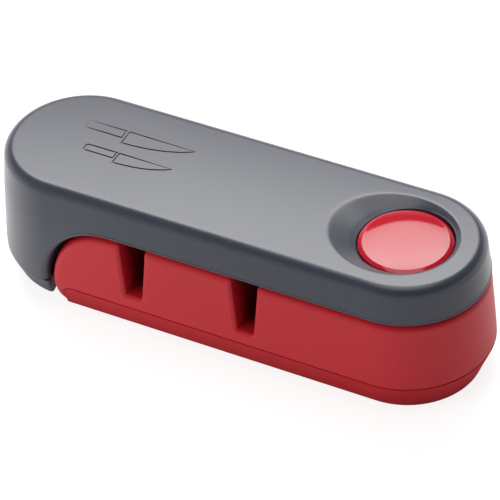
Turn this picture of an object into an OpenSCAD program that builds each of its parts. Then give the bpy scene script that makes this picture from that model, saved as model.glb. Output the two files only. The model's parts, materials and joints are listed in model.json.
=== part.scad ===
// Folding two-stage knife sharpener: a base with two blade slots over pairs of
// free-running ceramic wheels, and a handle that swings half a turn about a
// vertical pivot and folds flat over the base. Origin on the table under the
// middle of the folded body, +X towards the pivot end, +Z up.

/* [Body] */
// Length over both round ends, folded
body_length = 150; // [147:1:153]
// Width at the widest, just above the seam of the cover
body_width = 49; // [48.5:0.5:50]
// Height from the table to the top of the handle
body_height = 44; // [43.8:0.1:44.5]
// Wall thickness of the moulded shells
wall = 2.2; // [2.0:0.1:2.4]

/* [Base] */
// Height of the seam between housing and bottom cover
seam_z = 9.5; // [9:0.5:10]
// Height of the base's flat top deck
deck_z = 31.2; // [31:0.1:31.3]
// How far the underside is drawn in from the widest line
bevel = 3.6; // [3:0.2:4]

/* [Blade slots] */
// Place along the body of the coarse slot
coarse_x = -23; // [-24:0.5:-22]
// Place along the body of the fine slot
fine_x = 12.2; // [11.2:0.5:13.2]
// Width of a slot at the deck
slot_mouth = 8.3; // [8:0.1:8.6]
// Width of a slot at its floor
slot_root = 5; // [4.8:0.1:5.2]
// Height of the slot floor
slot_floor = 13.8; // [13.4:0.2:14.2]

/* [Sharpening wheels] */
// Radius of a ceramic wheel
wheel_r = 8.5; // [8:0.1:8.6]
// Radius at the root of the V between two wheels
vee_r = 5.5; // [5:0.1:6]
// Thickness of one wheel
wheel_w = 4.1; // [3.9:0.1:4.2]
// Height of the wheel axles
axle_z = 11.5; // [11.3:0.1:11.7]
// Radius of a wheel axle
axle_r = 1.5; // [1.4:0.1:1.6]

/* [Handle] */
// Height of the handle's flat underside
handle_z = 32; // [31.9:0.1:32.1]
// Radius of the rounded top edge
edge_r = 3.3; // [2.8:0.1:3.6]
// Radius of the arch that clears the nose of the base
arch_r = 21.5; // [21.3:0.1:21.6]

/* [Button] */
// Radius of the hole for the button
hole_r = 13.6; // [13.5:0.1:13.8]
// Clearance round the button
button_gap = 0.5; // [0.4:0.05:0.6]
// How far the button can be pressed
button_travel = 1.9; // [1.7:0.1:1.9]
// Lean of the thumb scoop away from the end of the handle, in degrees
scoop_lean = 12; // [11.8:0.1:12.2]

/* [Hidden] */
$fn = 64;

eps = 0.01;
end_r = body_width / 2;
pivot_x = body_length / 2 - end_r;
seam_gap = 0.15;
pad_proud = 0.5;
pad_mid_x = 6;
pad_half_l = 36;
pad_half_w = 11;
deck_edge_r = 2;
button_r = hole_r - button_gap;
scoop_half_angle = 60.6;
scoop_tip = [5.4, -8.7];

// The nose of the base and the arch of the handle are turned about the pivot,
// so that one sweeps past the other
arch_mid_rho = 83.2;
arch_rho = arch_mid_rho + arch_r;
nose_mid_rho = 82.1;
nose_r = arch_r - (handle_z - deck_z);
nose_rho = nose_mid_rho + nose_r;
nose_foot_r = 5;
cover_rho = 100.1;
cover_corner_r = 3.7;
foot_z = 2.8;

// Radius of the outer side above and below the widest line, by height
side_table = [
    [pad_proud, end_r - bevel], [seam_z, end_r], [seam_z + 2, end_r],
    [handle_z, end_r - 1.3], [body_height - edge_r, end_r - 2.2]
];

// The mechanism stacked on the pivot, from the deck up
hub_r = 13;
hub_bore_r = 9.5;
hub_top_z = 34.6;
cup_floor_z = 22;
cup_wall = 2;
stem_r = 3;
stem_low_z = 16;
key_w = 1.6;
key_r = 4.4;
ring_r = 16;
ring_t = 0.8;
ring_hole_r = 11.3;
bush_r = 15.5;
bush_flange_r = 17.5;
liner_t = 2;
inner_top_z = 41.6;
spring_r = 6.2;
spring_wire = 1;

// The lock: lugs of the plate stand between jaws of the latch ring, and press down out of them
plate_z = hub_top_z + ring_t + 0.2 + button_travel;
plate_t = 1;
plate_r = 15.4;
lug_r = 18.4;
lug_w = 2;
lug_gap = 0.12;
latch_z = plate_z + plate_t + 0.05;
latch_top_z = 40;
latch_bore_r = 13.7;
latch_r = 19;
jaw_r = 16.2;
jaw_w = 1.6;
jaw_z = plate_z + 0.2;
collar_r = 20.4;

// The button cap
peg_r = 1.2;
peg_ring = 7.4;
button_edge_z = 41.3;
button_rim_r = 1;
button_dome = 0.9;

// The wheel frames, measured from the middle of a slot
cheek_x = 4.9;
cheek_t = 2.5;
frame_y = 11.8;
frame_low_z = 4;
frame_high_z = 15.5;
ear_x = 11;
ear_z = 10;
ear_t = 2;
pocket_x = cheek_x + 0.3;
pocket_y = 9.6;
pocket_top_z = 20.8;
channel_wall = 1.8;

// Fasteners: pilot bores are a little wider than the screws
screw_r = 1.25;
pilot_r = 1.3;
boss_r = 3.2;
cover_screw_at = [[-37, 16], [-37, -16], [36, 16], [36, -16], [67, 0]];
liner_screw_at = [[-28, 12], [-28, -12], [18, 12], [18, -12]];
foot_screw_at = [[-61.5, 8], [-61.5, -8]];

// Knife marks, each with its place and its scale; closed outlines of a grip and a blade
knife_marks = [[-52.5, 6.6, 1], [-48, -2.6, 0.8]];
mark_w = 0.5;
mark_depth = 0.32;
grip_mark = [
    [12, 1.6], [0.9, 1.6], [0.25, 1.35], [0, 0.7], [0, -0.6], [0.25, -1.25], [0.9, -1.5], [12, -1.6]
];
blade_mark = concat(
    [[13.1, 1.6], [13.1, -3.6]],
    [for (i = [0:8]) let (t = i / 8) [
        (1 - t) * (1 - t) * 14.2 + 2 * t * (1 - t) * 27 + t * t * 34,
        (1 - t) * (1 - t) * -3.6 + 2 * t * (1 - t) * -3.2 + t * t * 1.4
    ]]
);

function left_of(v) = [-v[1], v[0]] / norm(v);
// A closed outline moved to its left by d, each corner along its mitre
function offset_outline(line, d) = [
    for (i = [0:len(line) - 1])
        let (last = line[(i + len(line) - 1) % len(line)], next = line[(i + 1) % len(line)])
        let (m = left_of(line[i] - last), n = left_of(next - line[i]))
        line[i] + (m + n) * d / max(1 + m * n, 0.45)
];
function side_r(z) = lookup(z, side_table);
function arc(cx, cy, r, a0, a1, steps) =
    [for (i = [0:steps]) let (a = a0 + (a1 - a0) * i / steps) [cx + r * cos(a), cy + r * sin(a)]];
// Right-hand outline of the sides between two heights, drawn in by inset
function side_outline(z0, z1, inset) = concat(
    [[side_r(z0) - inset, z0]],
    [for (p = side_table) if (p[0] > z0 + eps && p[0] < z1 - eps) [p[1] - inset, p[0]]],
    [[side_r(z1) - inset, z1]]
);
// The same outline with its top edge rounded
function rounded_outline(z0, z1, r, inset = 0) = concat(
    side_outline(z0, z1 - r, inset),
    arc(side_r(z1 - r) - inset - r, z1 - r, r, 10, 90, 8)
);

// A body with round ends whose side follows a right-hand outline
module racetrack(outline, half = pivot_x) {
    low = outline[0][1];
    high = outline[len(outline) - 1][1];
    profile = concat([[0, low]], outline, [[0, high]]);
    mirrored = concat(outline, [for (i = [len(outline) - 1:-1:0]) [-outline[i][0], outline[i][1]]]);
    rotate([90, 0, 90]) linear_extrude(2 * half, center = true) polygon(mirrored);
    for (side = [0, 180])
        rotate(side) translate([half, 0, 0]) rotate(-90) rotate_extrude(angle = 180, $fn = 128) polygon(profile);
}

// A solid turned about the pivot axis from an outline of (radius, height)
module about_pivot(outline) {
    translate([pivot_x, 0, 0]) rotate_extrude($fn = 180) polygon(outline);
}

module at_pivot(z = 0) {
    translate([pivot_x, 0, z]) children();
}

module tube(r_out, r_in, h) {
    difference() {
        cylinder(h = h, r = r_out);
        translate([0, 0, -1]) cylinder(h = h + 2, r = r_in);
    }
}

// Everything under a surface that is flat at top and curves down with radius r at the far end
module under_arc(mid_rho, r, top, low = -1) {
    about_pivot(concat(
        [[0, low], [mid_rho + r, low]],
        arc(mid_rho, top - r, r, 0, 90, 18),
        [[0, top]]
    ));
}

// Pan-head screw with its head's seat at z = 0 and its shank upwards
module screw(length, head_r = 2.4, head_h = 1.7, r = screw_r) {
    difference() {
        union() {
            translate([0, 0, -head_h]) cylinder(h = head_h, r = head_r);
            cylinder(h = length - r, r = r);
            translate([0, 0, length - r]) cylinder(h = r, r1 = r, r2 = r / 3, $fn = 32);
        }
        for (a = [0, 90])
            rotate(a) translate([-head_r * 0.6, -0.3, -head_h - 1]) cube([head_r * 1.2, 0.6, 2]);
    }
}

// ---- Base ----

// Outer form of the base with its nose turned about the pivot
module base_form() {
    intersection() {
        racetrack(rounded_outline(pad_proud, deck_z, deck_edge_r));
        about_pivot(concat(
            [[0, 0], [nose_rho - nose_foot_r, 0]],
            arc(nose_rho - nose_foot_r, pad_proud + nose_foot_r, nose_foot_r, -90, 0, 8),
            arc(nose_mid_rho, deck_z - nose_r, nose_r, 0, 90, 18),
            [[0, deck_z]]
        ));
    }
}

// Everything under the seam, out to the rounded end of the cover
module under_seam(gap = 0) {
    top = seam_z + gap;
    reach = cover_rho + gap;
    about_pivot(concat(
        [[0, -1], [reach, -1]],
        arc(reach - cover_corner_r, top - cover_corner_r, cover_corner_r, 0, 90, 6),
        [[0, top]]
    ));
}

module base_cavity() {
    intersection() {
        racetrack(side_outline(seam_z - 3, deck_z - wall, wall));
        under_arc(nose_mid_rho, nose_r - wall, deck_z - wall);
    }
}

// Cross-section of a blade slot, grown by grow on each flank
module slot_prism(grow, floor_z, top_z, half_y) {
    slope = (slot_mouth - slot_root) / 2 / (deck_z - slot_floor);
    function half(z) = slot_root / 2 + grow + slope * (z - slot_floor);
    rotate([90, 0, 0]) linear_extrude(2 * half_y, center = true)
        polygon([[-half(floor_z), floor_z], [half(floor_z), floor_z], [half(top_z), top_z], [-half(top_z), top_z]]);
}

module base_housing() color("firebrick") {
    difference() {
        union() {
            difference() {
                base_form();
                under_seam(seam_gap);
                base_cavity();
            }
            for (x = [coarse_x, fine_x])
                translate([x, 0, 0]) slot_prism(channel_wall, slot_floor - channel_wall, deck_z - 1, side_r(20) - wall + 0.4);
            intersection() {
                for (p = cover_screw_at)
                    translate([p[0], p[1], 12.1]) cylinder(h = deck_z - 12.1, r = boss_r);
                under_arc(nose_mid_rho, nose_r - 1, deck_z - 1);
            }
            for (x = [coarse_x, fine_x], s = [-1, 1])
                translate([x + s * ear_x, 0, ear_z + ear_t]) cylinder(h = deck_z - 1 - ear_z - ear_t, r = boss_r);
            at_pivot(cup_floor_z - cup_wall) cylinder(h = hub_top_z - cup_floor_z + cup_wall - 5, r = hub_bore_r + cup_wall);
            at_pivot(deck_z - wall) cylinder(h = hub_top_z - deck_z + wall, r = hub_r);
        }
        for (x = [coarse_x, fine_x]) {
            translate([x, 0, 0]) slot_prism(0, slot_floor, deck_z + 3, body_width);
            translate([x - pocket_x, -pocket_y, 0]) cube([2 * pocket_x, 2 * pocket_y, pocket_top_z]);
        }
        for (p = cover_screw_at)
            translate([p[0], p[1], 12]) cylinder(h = 12, r = pilot_r);
        for (x = [coarse_x, fine_x], s = [-1, 1])
            translate([x + s * ear_x, 0, ear_z]) cylinder(h = 10, r = pilot_r);
        at_pivot(cup_floor_z) cylinder(h = 20, r = hub_bore_r);
        at_pivot(cup_floor_z - 5) cylinder(h = 6, r = stem_r + 0.1);
        at_pivot(cup_floor_z - 2) translate([-key_r - 0.2, -key_w / 2 - 0.2, -1]) cube([2 * key_r + 0.4, key_w + 0.4, 4]);
        for (a = [0:120:240])
            at_pivot(hub_top_z - 6) rotate(a) translate([ring_hole_r, 0, 0]) cylinder(h = 7, r = 0.85);
    }
}

module base_cover() color("brown") {
    difference() {
        union() {
            difference() {
                intersection() {
                    racetrack(side_outline(pad_proud, seam_z, 0));
                    under_seam();
                }
                intersection() {
                    racetrack(side_outline(pad_proud + wall, seam_z + 1, wall));
                    about_pivot([[0, pad_proud + wall], [cover_rho - wall - 1, pad_proud + wall],
                        [cover_rho - wall - 1, seam_z + 1], [0, seam_z + 1]]);
                }
            }
            for (p = cover_screw_at)
                translate([p[0], p[1], 1.5]) cylinder(h = 10.5, r = 4);
        }
        translate([pad_mid_x, 0, 0]) racetrack([[pad_half_w + 0.1, 0], [pad_half_w + 0.1, pad_proud + 0.8]], pad_half_l);
        for (p = cover_screw_at) {
            translate([p[0], p[1], 0]) cylinder(h = 6, r = 2.7);
            translate([p[0], p[1], 5]) cylinder(h = 8, r = 1.5);
        }
    }
}

module non_slip_pad() color("dimgray") {
    difference() {
        translate([pad_mid_x, 0, 0]) racetrack([[pad_half_w, 0], [pad_half_w, pad_proud + 0.8]], pad_half_l);
        for (i = [-7:7])
            translate([pad_mid_x + 5 * i, 0, 0]) cube([1, 2 * pad_half_w - 5, 0.6], center = true);
    }
}

module cover_screws() color("silver") {
    for (p = cover_screw_at)
        translate([p[0], p[1], 6]) screw(14);
}

// ---- Sharpening wheels ----

module wheel_frame(x) {
    translate([x, 0, 0]) difference() {
        union() {
            translate([-cheek_x - cheek_t, -frame_y, frame_low_z])
                cube([2 * (cheek_x + cheek_t), 2 * frame_y, frame_high_z - frame_low_z - 4]);
            for (s = [-1, 1])
                translate([s * (cheek_x + cheek_t / 2) - cheek_t / 2, -4, ear_z]) cube([cheek_t, 8, frame_high_z - ear_z]);
            for (s = [-1, 1]) {
                translate([s * (cheek_x + cheek_t + ear_x) / 2 - (ear_x - cheek_x - cheek_t) / 2, -boss_r, ear_z])
                    cube([ear_x - cheek_x - cheek_t, 2 * boss_r, ear_t]);
                translate([s * ear_x, 0, ear_z]) cylinder(h = ear_t, r = boss_r);
            }
        }
        translate([-cheek_x, -pocket_y, 0]) cube([2 * cheek_x, 2 * pocket_y, 30]);
        translate([0, 0, axle_z]) rotate([0, 90, 0]) cylinder(h = 40, r = axle_r + 0.02, center = true);
        for (s = [-1, 1])
            translate([s * ear_x, 0, 0]) cylinder(h = 30, r = 1.5);
    }
}

module coarse_wheel_frame() color("darkslategray") wheel_frame(coarse_x);
module fine_wheel_frame() color("darkslategray") wheel_frame(fine_x);

module axle(x) {
    half = cheek_x + cheek_t;
    translate([x, 0, axle_z]) rotate([0, 90, 0]) union() {
        cylinder(h = 2 * half - 1, r = axle_r, center = true);
        cylinder(h = 2 * half, r = axle_r - 0.4, center = true);
    }
}

module coarse_axle() color("silver") axle(coarse_x);
module fine_axle() color("silver") axle(fine_x);

// Ceramic wheel with a cone on its inner face; side is -1 for left, 1 for right
module wheel(x, side) {
    gap = 0.05;
    vee = 1.25;
    bore_r = axle_r + 0.08;
    translate([x, 0, axle_z]) rotate([0, 90 * side, 0]) rotate_extrude($fn = 96)
        polygon([[bore_r, gap], [vee_r, gap], [wheel_r, vee + gap], [wheel_r, wheel_w - 0.4],
            [wheel_r - 0.4, wheel_w], [bore_r, wheel_w]]);
}

module coarse_wheel_left() color("gray") wheel(coarse_x, -1);
module coarse_wheel_right() color("gray") wheel(coarse_x, 1);
module fine_wheel_left() color("ivory") wheel(fine_x, -1);
module fine_wheel_right() color("ivory") wheel(fine_x, 1);

module wheel_washers(x) {
    space = cheek_x - wheel_w;
    for (s = [-1, 1])
        translate([x + s * (wheel_w + space / 2), 0, axle_z]) rotate([0, 90, 0])
            translate([0, 0, -space / 2 + 0.1]) tube(3, axle_r + 0.05, space - 0.2);
}

module coarse_wheel_washers() color("white") wheel_washers(coarse_x);
module fine_wheel_washers() color("white") wheel_washers(fine_x);

module frame_screws() color("silver") {
    for (x = [coarse_x, fine_x], s = [-1, 1])
        translate([x + s * ear_x, 0, ear_z]) screw(9, 2.2, 1.5);
}

// ---- Pivot ----

module thrust_washer() color("black") {
    at_pivot(deck_z + 0.02) tube(20, hub_r + 0.2, handle_z - deck_z - 0.1);
}

module retaining_ring() color("silver") {
    difference() {
        at_pivot(hub_top_z) tube(ring_r, hub_bore_r, ring_t);
        for (a = [0:120:240])
            at_pivot(hub_top_z) rotate(a) translate([ring_hole_r, 0, 0]) {
                translate([0, 0, -1]) cylinder(h = 3, r = 0.9);
                translate([0, 0, ring_t - 0.5]) cylinder(h = 2, r = 1.55);
            }
    }
}

module ring_screws() color("silver") {
    for (a = [0:120:240])
        at_pivot(hub_top_z + ring_t - 0.5) rotate(a) translate([ring_hole_r, 0, 0]) rotate([180, 0, 0])
            screw(5, 1.5, 0.5, 0.8);
}

// Space of the coil spring round the button's stem
module button_spring() color("silver") {
    at_pivot(cup_floor_z) tube(spring_r, spring_r - spring_wire, plate_z - cup_floor_z);
}

// Plate on a keyed stem that presses down through the hub but can't turn in it
module lock_plate() color("darkslategray") {
    at_pivot() difference() {
        union() {
            translate([0, 0, plate_z]) cylinder(h = plate_t, r = plate_r);
            translate([-lug_w / 2, -lug_r, plate_z]) cube([lug_w, 2 * lug_r, plate_t]);
            translate([0, 0, stem_low_z]) cylinder(h = plate_z - stem_low_z + eps, r = stem_r);
            translate([-key_r, -key_w / 2, stem_low_z + 2]) cube([2 * key_r, key_w, plate_z - stem_low_z - 2 + eps]);
        }
        for (a = [60:120:300])
            rotate(a) translate([peg_ring, 0, plate_z - 1]) cylinder(h = 4, r = peg_r + 0.05);
    }
}

// Domed cap with a rounded rim, hollow below, on three pegs
module button_cap() color("crimson") {
    flat_r = button_r - button_rim_r;
    sphere_r = flat_r * flat_r / 2 / button_dome;
    top_z = button_edge_z + button_rim_r + button_dome;
    low_z = plate_z + plate_t + 0.02;
    at_pivot() {
        rotate_extrude($fn = 128) polygon(concat(
            [[0, low_z + 1.4], [0, top_z]],
            [for (i = [1:8]) let (r = flat_r * i / 8) [r, top_z - r * r / 2 / sphere_r]],
            arc(flat_r, button_edge_z, button_rim_r, 75, 0, 5),
            [[button_r, low_z], [button_r - 1.6, low_z], [button_r - 1.6, low_z + 1.4]]
        ));
        for (a = [60:120:300])
            rotate(a) translate([peg_ring, 0, plate_z + 0.1]) cylinder(h = low_z - plate_z + 1.5, r = peg_r);
    }
}

// ---- Handle ----

// The thumb scoop round the button: a wide cone that leans away from the pivot end
module scoop() {
    h = 20;
    translate([pivot_x + scoop_tip[0], 0, body_height + scoop_tip[1]]) rotate([0, -scoop_lean, 0])
        cylinder(h = h, r1 = 0, r2 = h * tan(scoop_half_angle), $fn = 128);
}

// Bosses that hang from the inside of the handle, and the collar that holds the latch ring
module handle_bosses() {
    for (p = liner_screw_at)
        translate([p[0], p[1], handle_z + liner_t + 0.05]) cylinder(h = inner_top_z - handle_z - liner_t + 0.5, r = boss_r);
    for (p = foot_screw_at)
        translate([p[0], p[1], seam_z + 0.6]) cylinder(h = inner_top_z - seam_z, r = boss_r);
    at_pivot(latch_z) tube(collar_r, latch_r, inner_top_z - latch_z + 0.5);
    at_pivot(latch_top_z) cylinder(h = inner_top_z - latch_top_z + 0.5, r = collar_r - 0.2);
}

// Groove that follows a closed outline cut into the top face
module groove(outline) {
    translate([0, 0, body_height - mark_depth]) difference() {
        linear_extrude(1) polygon(offset_outline(outline, -mark_w / 2));
        translate([0, 0, -1]) linear_extrude(3) polygon(offset_outline(outline, mark_w / 2));
    }
}

// Engraved outlines of two plain kitchen knives, one above the other
module knife_mark() {
    for (mark = knife_marks, outline = [grip_mark, blade_mark])
        groove([for (p = outline) p * mark[2] + [mark[0], mark[1]]]);
}

module handle_shell() color("slategray") {
    difference() {
        union() {
            difference() {
                racetrack(rounded_outline(seam_z + seam_gap, body_height, edge_r));
                racetrack(side_outline(seam_z - 1, inner_top_z, wall));
            }
            handle_bosses();
        }
        under_arc(arch_mid_rho, arch_r, handle_z);
        scoop();
        at_pivot(30) cylinder(h = 20, r = hole_r);
        for (p = liner_screw_at)
            translate([p[0], p[1], handle_z]) cylinder(h = 8, r = pilot_r);
        for (p = foot_screw_at)
            translate([p[0], p[1], seam_z]) cylinder(h = 14, r = pilot_r);
        knife_mark();
    }
}

// The underside between the handle's walls: a flat plate that curves down the arch
module handle_liner() color("dimgray") {
    difference() {
        intersection() {
            racetrack(side_outline(seam_z + 0.6, handle_z + liner_t, wall + 0.1));
            difference() {
                under_arc(arch_mid_rho, arch_r + liner_t, handle_z + liner_t, seam_z);
                under_arc(arch_mid_rho, arch_r, handle_z);
            }
        }
        at_pivot(handle_z - 1) cylinder(h = 4, r = bush_r);
        for (p = liner_screw_at) {
            translate([p[0], p[1], handle_z - 1]) cylinder(h = 4, r = 1.5);
            translate([p[0], p[1], handle_z - 1]) cylinder(h = 2.1, r1 = 3, r2 = 2.55);
        }
    }
}

module liner_screws() color("silver") {
    for (p = liner_screw_at)
        translate([p[0], p[1], handle_z + 1.1]) screw(6.5, 2.4, 1);
}

// Cap that closes the bottom of the handle's leg, clear of the table
module handle_foot() color("slategray") {
    difference() {
        racetrack(side_outline(foot_z, seam_z, 0));
        about_pivot([[0, 0], [arch_rho, 0], [arch_rho, seam_z + 1], [0, seam_z + 1]]);
        difference() {
            racetrack(side_outline(foot_z + wall, seam_z + 1, wall));
            about_pivot([[0, 0], [arch_rho + wall, 0], [arch_rho + wall, seam_z + 2], [0, seam_z + 2]]);
            for (p = foot_screw_at)
                translate([p[0], p[1], 0]) cylinder(h = seam_z + 2, r = 4);
        }
        for (p = foot_screw_at) {
            translate([p[0], p[1], 0]) cylinder(h = 6, r = 2.7);
            translate([p[0], p[1], 5]) cylinder(h = 8, r = 1.5);
        }
    }
}

module foot_screws() color("silver") {
    for (p = foot_screw_at)
        translate([p[0], p[1], 6]) screw(14);
}

module pivot_bush() color("white") {
    at_pivot() {
        translate([0, 0, handle_z + 0.1]) tube(bush_r - 0.03, hub_r + 0.05, liner_t + 0.2);
        translate([0, 0, handle_z + liner_t + 0.02]) tube(bush_flange_r, hub_r + 0.05, 0.45);
    }
}

// Ring under the handle's top with two pairs of ramped jaws for the lugs of the lock plate
module latch_ring() color("silver") {
    inner = lug_w / 2 + lug_gap;
    at_pivot() difference() {
        union() {
            translate([0, 0, latch_z]) tube(latch_r - 0.05, latch_bore_r, latch_top_z - latch_z - 0.02);
            intersection() {
                translate([0, 0, jaw_z]) tube(latch_r - 0.05, jaw_r, latch_z - jaw_z + 0.5);
                rotate([90, 0, 0]) linear_extrude(2 * latch_r, center = true) polygon([
                    [-inner - jaw_w, latch_z + 1], [-inner - jaw_w, latch_z], [-inner - jaw_w + 0.8, jaw_z],
                    [inner + jaw_w - 0.8, jaw_z], [inner + jaw_w, latch_z], [inner + jaw_w, latch_z + 1]
                ]);
            }
        }
        translate([-inner, -latch_r - 1, jaw_z - 1]) cube([2 * inner, 2 * latch_r + 2, latch_z - jaw_z + 1]);
    }
}

base_housing();
base_cover();
non_slip_pad();
cover_screws();
coarse_wheel_frame();
fine_wheel_frame();
coarse_axle();
fine_axle();
coarse_wheel_washers();
fine_wheel_washers();
frame_screws();
thrust_washer();
retaining_ring();
ring_screws();
button_spring();
handle_shell();
handle_liner();
handle_foot();
liner_screws();
foot_screws();
pivot_bush();
latch_ring();
button_cap();
lock_plate();
coarse_wheel_left();
coarse_wheel_right();
fine_wheel_left();
fine_wheel_right();
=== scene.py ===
import bpy, bmesh, json, math
import numpy as np
from mathutils import Matrix, Vector


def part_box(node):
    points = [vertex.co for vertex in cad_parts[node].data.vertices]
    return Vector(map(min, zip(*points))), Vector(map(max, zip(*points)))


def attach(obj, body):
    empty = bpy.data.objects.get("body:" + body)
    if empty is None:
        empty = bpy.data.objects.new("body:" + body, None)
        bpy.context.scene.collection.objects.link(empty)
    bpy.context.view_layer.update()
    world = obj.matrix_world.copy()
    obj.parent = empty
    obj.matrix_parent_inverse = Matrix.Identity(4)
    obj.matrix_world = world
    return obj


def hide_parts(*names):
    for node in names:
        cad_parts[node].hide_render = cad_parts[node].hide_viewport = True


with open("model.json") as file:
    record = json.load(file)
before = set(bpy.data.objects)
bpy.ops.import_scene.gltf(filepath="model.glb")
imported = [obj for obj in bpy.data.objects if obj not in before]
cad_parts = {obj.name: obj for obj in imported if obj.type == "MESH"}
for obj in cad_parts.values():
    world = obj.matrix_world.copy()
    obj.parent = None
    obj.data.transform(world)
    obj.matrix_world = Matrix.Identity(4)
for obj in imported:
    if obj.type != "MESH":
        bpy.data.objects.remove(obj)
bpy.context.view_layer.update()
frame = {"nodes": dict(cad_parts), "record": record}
scene = bpy.context.scene
nodes = frame["nodes"]


def boxMm(node):  # lowest and highest corner of a CAD node in millimetres
    low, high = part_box(node)
    return np.array(low) * 1000, np.array(high) * 1000


capLow, capHigh = boxMm("button_cap")
shellHigh = boxMm("handle_shell")[1]
pivotX = (capLow[0] + capHigh[0]) / 2
halfWidth, topZ = shellHigh[1], shellHigh[2]
seamZ = boxMm("handle_foot")[1][2]  # where the cover and the foot meet the shells above
deckZ, underZ, housingZ = 31.2, 32.0, 0.5  # top of the base, underside of the handle, foot of the housing
mm = 0.001  # lengths here are in millimetres, and in metres in the scene

# Side outline shared by base and handle: inset from the half width at each height, in straight lines that are
# then averaged under a bell curve, which softens them where the slope changes
sideLook = {"heights": [housingZ, seamZ, seamZ + 2, 32, 40.7, 46], "insets": [3.6, 0, 0, 1.3, 2.2, 2.75],
            "slopeBelow": 0.38, "softness": 0.7}
fineStep, bellReach = 0.1, 24  # spacing in mm, and points on either side of the bell's middle
fineZ = np.arange(-6, 52, fineStep)
fineInset = np.interp(fineZ, sideLook["heights"], sideLook["insets"])
below = fineZ < housingZ
fineInset[below] = sideLook["insets"][0] + (housingZ - fineZ[below]) * sideLook["slopeBelow"]
sideBell = np.exp(-0.5 * (np.arange(-bellReach, bellReach + 1) * fineStep / sideLook["softness"]) ** 2)
fineInset = np.convolve(np.pad(fineInset, bellReach, mode="edge"), sideBell / sideBell.sum(), "valid")


def sideRadius(z):  # half width of the body at height z, read off the softened outline
    return halfWidth - np.interp(z, fineZ, fineInset)


def shellRadius(z):  # half width of the handle, which stays upright below the seam
    return sideRadius(np.maximum(z, seamZ))


def surface(grid, wrapU=True, wrapV=False, capStart=False, capEnd=False):
    # Points and faces of a sheet: grid[u, v] are points in mm, neighbours in u and v share a face,
    # and a cap joins the first or last v ring to its own middle point
    nu, nv = grid.shape[:2]
    uEnd, vEnd = (nu if wrapU else nu - 1), (nv if wrapV else nv - 1)
    u, v = np.meshgrid(np.arange(uEnd), np.arange(vEnd), indexing="ij")
    uNext, vNext = (u + 1) % nu, (v + 1) % nv
    quads = np.stack([u * nv + v, uNext * nv + v, uNext * nv + vNext, u * nv + vNext], -1).reshape(-1, 4)
    points = grid.reshape(-1, 3)
    faces = quads.tolist()
    ring = np.arange(nu)
    for wanted, column in ((capStart, 0), (capEnd, nv - 1)):
        if wanted:
            middle = len(points)
            points = np.vstack([points, grid[:, column].mean(0)])
            corners = [ring * nv + column, (ring + 1) % nu * nv + column, np.full(nu, middle)]
            faces += np.stack(corners, -1).tolist()
    return points, faces


def lathe(profile, centre=(0, 0), steps=96):
    # Turned surface: radius and height pairs carried round a vertical axis at centre
    profile = np.asarray(profile, float)
    angle = np.arange(steps) / steps * 2 * np.pi
    grid = np.empty((steps, len(profile), 3))
    grid[..., 0] = centre[0] + np.cos(angle)[:, None] * profile[:, 0]
    grid[..., 1] = centre[1] + np.sin(angle)[:, None] * profile[:, 0]
    grid[..., 2] = profile[:, 1]
    return grid


def arc(cx, cy, radius, start, end, steps):  # points on a circle between two angles in degrees
    a = np.radians(np.linspace(start, end, steps + 1))
    return np.stack([cx + radius * np.cos(a), cy + radius * np.sin(a)], -1)


def meshFrom(name, surfaces, merge=0.002):  # one mesh from several sheets in mm
    points, faces, count = [], [], 0
    for p, f in surfaces:
        points.append(p)
        faces += [[i + count for i in face] for face in f]
        count += len(p)
    mesh = bpy.data.meshes.new(name)
    mesh.from_pydata((np.vstack(points) * mm).tolist(), [], faces)
    mesh.update()
    tidyMesh(mesh, merge)
    return mesh


def tidyMesh(mesh, merge=0.002):  # merges doubled points, then points every face outwards
    work = bmesh.new()
    work.from_mesh(mesh)
    bmesh.ops.remove_doubles(work, verts=work.verts, dist=merge * mm)
    bmesh.ops.dissolve_degenerate(work, edges=work.edges, dist=1e-7)
    bmesh.ops.recalc_face_normals(work, faces=work.faces)
    work.to_mesh(mesh)
    work.free()
    mesh.update()


def newObject(name, mesh):
    made = bpy.data.objects.new(name, mesh)
    scene.collection.objects.link(made)
    return made


def sizeOf(mesh):  # volume, and lowest and highest corner, of a closed mesh
    work = bmesh.new()
    work.from_mesh(mesh)
    volume = abs(work.calc_volume(signed=True))
    work.free()
    points = np.empty(len(mesh.vertices) * 3)
    mesh.vertices.foreach_get("co", points)
    points = points.reshape(-1, 3)
    return volume, points.min(0), points.max(0)


def sound(result, before, tool, operation):
    # Whether a boolean came out: a cut only takes away, at most the tool's volume, and stays in the box; a union
    # only adds, at most the tool's volume; an intersection keeps over half of the target and no more than the tool
    (volume, low, high), (was, wasLow, wasHigh), most = result, before, tool[0]
    if operation == "UNION":
        return was * 0.9999 <= volume <= (was + most) * 1.0001
    inBox = (low >= wasLow - 1e-6).all() and (high <= wasHigh + 1e-6).all()
    if operation == "INTERSECT":
        return inBox and was * 0.5 < volume < min(was, most) * 1.0001
    return inBox and max(was - most, 0) * 0.9999 <= volume < was


carveTries = (("EXACT", 0.0), ("EXACT", 0.002), ("MANIFOLD", 0.0), ("EXACT", -0.005), ("MANIFOLD", 0.009),
              ("EXACT", 0.014))  # solver, and how far the cutter is moved in mm


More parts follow.
